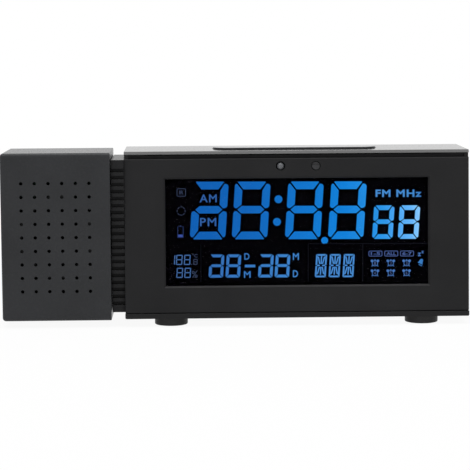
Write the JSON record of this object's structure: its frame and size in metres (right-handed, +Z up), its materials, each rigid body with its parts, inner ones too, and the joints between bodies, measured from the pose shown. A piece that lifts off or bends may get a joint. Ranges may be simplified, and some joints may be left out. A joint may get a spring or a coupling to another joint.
{
  "type": "digital alarm clock",
  "caption": "Wide digital alarm clock with a backlit display leaning under a bevelled roof, a snooze bar on top, and a turning loudspeaker and projector head on a ribbed neck.",
  "frame": {"origin": "on the surface that the feet stand on, under the middle of the bounding box", "axes": "+X to the viewer's right along the clock, +Y from the display to the back, +Z up"},
  "size_m": [0.2022, 0.042, 0.0764],
  "materials": {
    "case_plastic": "fine matt texture",
    "panel_plastic": "fine matt texture",
    "head_plastic": "fine matt texture",
    "neck_plastic": "satin, ribbed",
    "key_plastic": "satin",
    "clear_plastic": "clear",
    "display_glass": "black",
    "white_plastic": "white",
    "inner_plastic": "plain",
    "board_green": "solder mask",
    "chip_black": "moulded",
    "tin_metal": "tinned",
    "screw_steel": "plated",
    "spring_steel": "nickel",
    "cell_wrap": "printed film",
    "rubber_black": "matt",
    "loom_sleeve": "soft sleeve",
    "emitter_resin": "milky",
    "receiver_resin": "dark resin",
    "speaker_metal": "black",
    "speaker_paper": "pressed pulp",
    "coil_copper": "enamelled wire",
    "magnet_ferrite": "sintered",
    "optic_glass": "coated"
  },
  "bodies": {
    "case": {"main_case": "case_plastic", "front_panel": "panel_plastic", "display_lens": "clear_plastic", "lcd_glass": "display_glass", "lcd_frame": "inner_plastic", "zebra_strips": "rubber_black", "light_guide": "white_plastic", "backlight_leds": "white_plastic", "main_board": "board_green", "controller_chip": "chip_black", "tuner_shield": "tin_metal", "climate_sensor": "white_plastic", "infrared_emitter": "emitter_resin", "infrared_receiver": "receiver_resin", "board_screws": "screw_steel", "snooze_board": "board_green", "snooze_switches": "chip_black", "rear_cover": "case_plastic", "key_board": "board_green", "key_switches": "chip_black", "power_jack": "chip_black", "aerial_gland": "rubber_black", "cover_screws": "screw_steel", "battery_cells": "cell_wrap", "cell_plates": "spring_steel", "cell_springs": "spring_steel", "front_feet": "rubber_black", "rear_feet": "rubber_black", "neck_collar": "neck_plastic", "neck_screws": "screw_steel", "friction_washer": "spring_steel", "case_plug": "white_plastic"},
    "head": {"head_front_shell": "head_plastic", "head_rear_shell": "head_plastic", "head_screws": "screw_steel", "speaker_frame": "speaker_metal", "speaker_cone": "speaker_paper", "voice_coil": "coil_copper", "speaker_magnet": "magnet_ferrite", "projector_board": "board_green", "projector_screws": "screw_steel", "projector_lamp": "emitter_resin", "projector_tube": "inner_plastic", "projection_lcd": "display_glass", "pivot_tube": "inner_plastic", "pivot_retainer": "inner_plastic", "wire_loom": "loom_sleeve", "loom_grommet": "rubber_black", "head_plug": "white_plastic"},
    "snooze_key": {"snooze_bar": "key_plastic"},
    "battery_lid": {"battery_door": "case_plastic"},
    "focus_knob": {"focus_ring": "key_plastic"},
    "focus_slide": {"lens_holder": "inner_plastic", "projector_lens": "optic_glass"},
    "mode_key": {"mode_button": "key_plastic"},
    "set_key": {"set_button": "key_plastic"},
    "up_key": {"up_button": "key_plastic"},
    "down_key": {"down_button": "key_plastic"},
    "alarm_key": {"alarm_button": "key_plastic"},
    "radio_key": {"radio_button": "key_plastic"}
  },
  "joints": [
    {"name": "head_turn", "type": "hinge", "parent": "case", "child": "head", "pos_m": [-0.054, -0.0066, 0.0392], "axis": [1, 0, 0], "range_deg": [0, 180]},
    {"name": "snooze_press", "type": "slide", "parent": "case", "child": "snooze_key", "axis": [0, 0, -1], "range_m": [0, 0.0008], "stiffness_N_per_m": 2000, "springref_m": -0.0003},
    {"name": "battery_door_lift", "type": "slide", "parent": "case", "child": "battery_lid", "axis": [0, 1, 0], "range_m": [0, 0.03]},
    {"name": "focus_turn", "type": "hinge", "parent": "head", "child": "focus_knob", "pos_m": [-0.0776, 0.019, 0.0583], "axis": [0, 1, 0], "range_deg": [-60, 60]},
    {"name": "lens_focus", "type": "slide", "parent": "head", "child": "focus_slide", "axis": [0, 1, 0], "range_m": [-0.0008, 0.0008]},
    {"name": "mode_press", "type": "slide", "parent": "case", "child": "mode_key", "axis": [0, -1, 0], "range_m": [0, 0.0008], "stiffness_N_per_m": 2000, "springref_m": -0.0003},
    {"name": "set_press", "type": "slide", "parent": "case", "child": "set_key", "axis": [0, -1, 0], "range_m": [0, 0.0008], "stiffness_N_per_m": 2000, "springref_m": -0.0003},
    {"name": "up_press", "type": "slide", "parent": "case", "child": "up_key", "axis": [0, -1, 0], "range_m": [0, 0.0008], "stiffness_N_per_m": 2000, "springref_m": -0.0003},
    {"name": "down_press", "type": "slide", "parent": "case", "child": "down_key", "axis": [0, -1, 0], "range_m": [0, 0.0008], "stiffness_N_per_m": 2000, "springref_m": -0.0003},
    {"name": "alarm_press", "type": "slide", "parent": "case", "child": "alarm_key", "axis": [0, -1, 0], "range_m": [0, 0.0008], "stiffness_N_per_m": 2000, "springref_m": -0.0003},
    {"name": "radio_press", "type": "slide", "parent": "case", "child": "radio_key", "axis": [0, -1, 0], "range_m": [0, 0.0008], "stiffness_N_per_m": 2000, "springref_m": -0.0003}
  ],
  "couplings": [
    {"joint": "focus_turn", "follows": "lens_focus", "rad_per_m": 1300}
  ]
}
